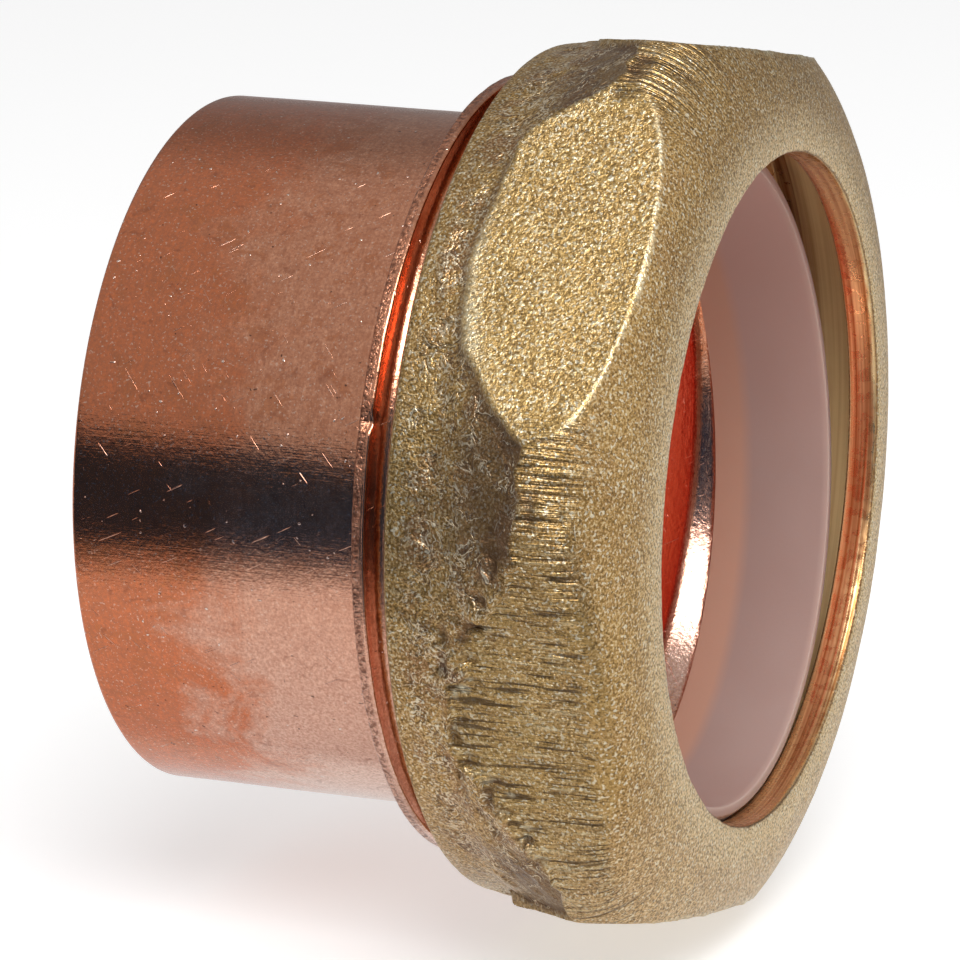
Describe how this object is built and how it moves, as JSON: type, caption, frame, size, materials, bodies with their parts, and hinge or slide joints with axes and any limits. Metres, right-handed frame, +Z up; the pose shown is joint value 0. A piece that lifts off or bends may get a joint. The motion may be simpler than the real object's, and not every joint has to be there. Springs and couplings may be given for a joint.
{
  "type": "slip-joint pipe adapter",
  "caption": "Copper drain adapter: a plain end that solders into a hub, and a threaded mouth with a hexagonal brass slip nut that squeezes a bevelled plastic washer onto a tube.",
  "frame": {"origin": "centre of the plain end's face, on the fitting's axis", "axes": "+X along the fitting's axis, from the plain end to the slip nut's opening; +Z up; the nut's hexagon is turned so that two flats show to the -Y side"},
  "size_m": [0.0357, 0.056, 0.0548],
  "materials": {
    "copper": "bright wrot copper, lightly tarnished and scratched",
    "forged_brass": "matt forged skin, machined and brushed at the opening",
    "washer_plastic": "translucent off-white polyethylene"
  },
  "bodies": {
    "body": {"copper_body": "copper"},
    "washer": {"sealing_washer": "washer_plastic"},
    "nut": {"slip_nut": "forged_brass"}
  },
  "joints": [
    {"name": "washer_slide", "type": "slide", "parent": "body", "child": "washer", "axis": [1, 0, 0], "range_m": [0, 0.0067]},
    {"name": "nut_turn", "type": "hinge", "parent": "washer", "child": "nut", "pos_m": [0.0285, 0, 0], "axis": [1, 0, 0], "range_deg": [0, 1080]}
  ],
  "couplings": [
    {"joint": "washer_slide", "follows": "nut_turn", "m_per_rad": 0.00035152}
  ]
}
